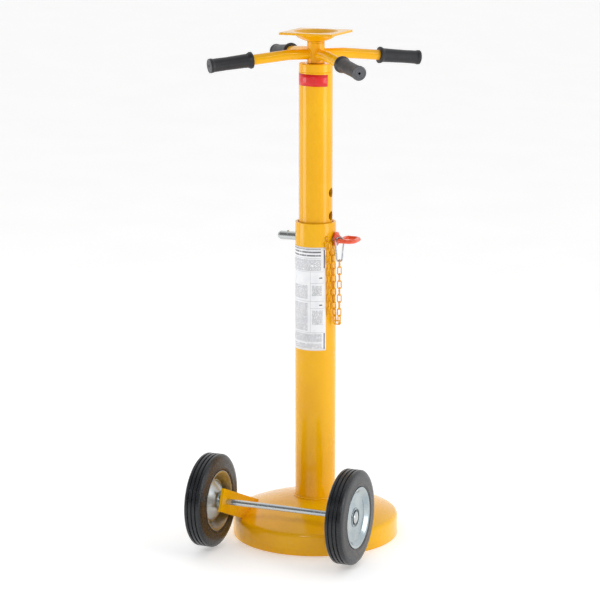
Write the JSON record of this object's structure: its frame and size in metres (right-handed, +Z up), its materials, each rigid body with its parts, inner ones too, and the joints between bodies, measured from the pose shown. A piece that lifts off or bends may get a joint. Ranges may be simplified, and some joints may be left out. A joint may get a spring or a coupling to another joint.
{
  "type": "trailer stabilizing jack stand",
  "caption": "Wheeled column stand with a domed foot, pinned telescoping tube, hand-spun lift screw with rubber-gripped spokes and a square swivelling top plate.",
  "frame": {"origin": "middle of the foot's underside, on the column's axis", "axes": "+Z up the column, +X along the wheel axle and locking pin towards the pin's handle, -Y towards the wheels"},
  "size_m": [0.3702, 0.4897, 1.1155],
  "materials": {
    "yellow_powder_coat": "gloss safety-yellow powder coat",
    "zinc_plate": "bright zinc plate",
    "spring_steel": "plated wire",
    "oiled_screw_steel": "machined and oiled",
    "bearing_steel": "ground rings with dark seals",
    "orange_red_coating": "dipped vinyl",
    "yellow_chain": "painted",
    "grip_rubber": "satin moulded",
    "tyre_rubber": "satin moulded",
    "label_film": "printed vinyl film",
    "red_tape": "reflective film"
  },
  "bodies": {
    "stand_base": {"floor_plate": "yellow_powder_coat", "base_dome": "yellow_powder_coat", "column_weld": "yellow_powder_coat", "outer_column": "yellow_powder_coat", "instruction_label": "label_film", "wheel_bracket_left": "yellow_powder_coat", "wheel_bracket_right": "yellow_powder_coat", "axle_rod": "zinc_plate", "axle_washers": "zinc_plate", "axle_cap_left": "zinc_plate", "axle_cap_right": "zinc_plate", "chain_anchor": "yellow_powder_coat", "tether_chain": "yellow_chain"},
    "upper_column": {"inner_column": "yellow_powder_coat", "lift_nut": "yellow_powder_coat", "reflective_tape": "red_tape"},
    "swivel_washer_ring": {"thrust_washer": "yellow_powder_coat"},
    "spinner": {"spinner_hub": "yellow_powder_coat", "lift_screw": "oiled_screw_steel", "spoke_1": "yellow_powder_coat", "spoke_2": "yellow_powder_coat", "spoke_3": "yellow_powder_coat", "spoke_4": "yellow_powder_coat", "grip_1": "grip_rubber", "grip_2": "grip_rubber", "grip_3": "grip_rubber", "grip_4": "grip_rubber", "swivel_bolt": "zinc_plate", "swivel_washer": "zinc_plate"},
    "swivel_plate": {"top_plate": "yellow_powder_coat"},
    "locking_pin": {"pin_shank": "zinc_plate", "pin_handle": "orange_red_coating", "detent_ball": "zinc_plate", "detent_spring": "spring_steel"},
    "spring_hook": {"hook_body": "spring_steel", "gate_rivet": "spring_steel"},
    "hook_gate": {"hook_gate": "spring_steel"},
    "wheel_left": {"tyre_left": "tyre_rubber", "rim_outer_left": "zinc_plate", "rim_inner_left": "zinc_plate", "hub_tube_left": "zinc_plate", "wheel_bearings_left": "bearing_steel"},
    "wheel_right": {"tyre_right": "tyre_rubber", "rim_outer_right": "zinc_plate", "rim_inner_right": "zinc_plate", "hub_tube_right": "zinc_plate", "wheel_bearings_right": "bearing_steel"}
  },
  "joints": [
    {"name": "column_slide", "type": "slide", "parent": "stand_base", "child": "upper_column", "axis": [0, 0, 1], "range_m": [0, 0.0014]},
    {"name": "screw_lift", "type": "slide", "parent": "upper_column", "child": "swivel_washer_ring", "axis": [0, 0, 1], "range_m": [0, 0.1524]},
    {"name": "spinner_turn", "type": "hinge", "parent": "swivel_washer_ring", "child": "spinner", "pos_m": [0, 0, 1.0915], "axis": [0, 0, 1], "range_deg": [0, 8640]},
    {"name": "plate_swivel", "type": "hinge", "parent": "swivel_washer_ring", "child": "swivel_plate", "pos_m": [0, 0, 1.097], "axis": [0, 0, 1], "continuous": true},
    {"name": "pin_pull", "type": "slide", "parent": "stand_base", "child": "locking_pin", "axis": [1, 0, 0], "range_m": [0, 0.14], "deforming": ["tether_chain", "detent_ball", "detent_spring"]},
    {"name": "hook_swing", "type": "hinge", "parent": "locking_pin", "child": "spring_hook", "pos_m": [0.06245, -0.016, 0.66727], "axis": [0, 1, 0], "range_deg": [-40, 12], "deforming": ["tether_chain"]},
    {"name": "gate_hinge", "type": "hinge", "parent": "spring_hook", "child": "hook_gate", "pos_m": [0.06821, -0.01367, 0.63526], "axis": [0.3746, -0.9272, 0], "range_deg": [0, 15], "stiffness_Nm_per_rad": 0.01, "springref_deg": -22.92},
    {"name": "wheel_left_roll", "type": "hinge", "parent": "stand_base", "child": "wheel_left", "pos_m": [-0.162, -0.203, 0.1105], "axis": [1, 0, 0], "continuous": true},
    {"name": "wheel_right_roll", "type": "hinge", "parent": "stand_base", "child": "wheel_right", "pos_m": [0.162, -0.203, 0.1105], "axis": [1, 0, 0], "continuous": true}
  ],
  "couplings": [
    {"joint": "screw_lift", "follows": "spinner_turn", "m_per_rad": 0.0010106}
  ]
}
